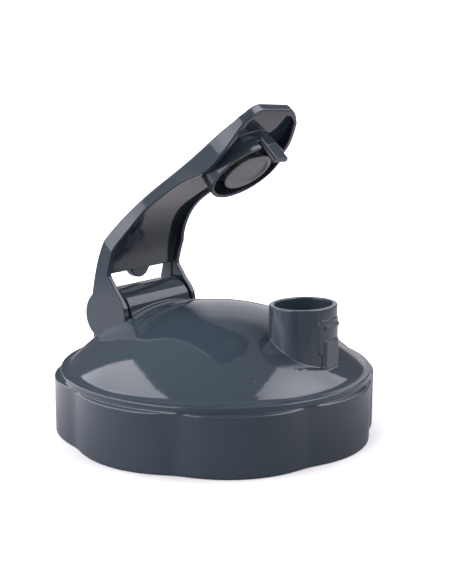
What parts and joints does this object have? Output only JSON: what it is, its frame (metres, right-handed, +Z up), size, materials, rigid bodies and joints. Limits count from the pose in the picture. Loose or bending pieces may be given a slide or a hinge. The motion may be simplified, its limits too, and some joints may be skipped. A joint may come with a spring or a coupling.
{
  "type": "flip-top drinking lid",
  "caption": "Screw-on drinking lid with a scalloped skirt, a domed top, an oval spout and a hinged flip arm that plugs the spout.",
  "frame": {"origin": "where the lid's axis meets the plane of the skirt's bottom edge", "axes": "+Z up along the lid's axis, +X from the hinge towards the spout, hinge axis along Y"},
  "size_m": [0.0966, 0.0966, 0.0954],
  "materials": {
    "slate_plastic": "polished dark slate blue-grey moulding",
    "seal_silicone": "satin mid-grey silicone",
    "gasket_silicone": "satin mid-grey silicone",
    "pin_steel": "ground steel"
  },
  "bodies": {
    "lid": {"lid_body": "slate_plastic", "lid_gasket": "gasket_silicone", "hinge_pin": "pin_steel"},
    "flip": {"flip_arm": "slate_plastic", "plug_seal": "seal_silicone"}
  },
  "joints": [
    {"name": "flip_hinge", "type": "hinge", "parent": "lid", "child": "flip", "pos_m": [-0.0287, 0, 0.0323], "axis": [0, -1, 0], "range_deg": [-43.6, 86.4]}
  ]
}
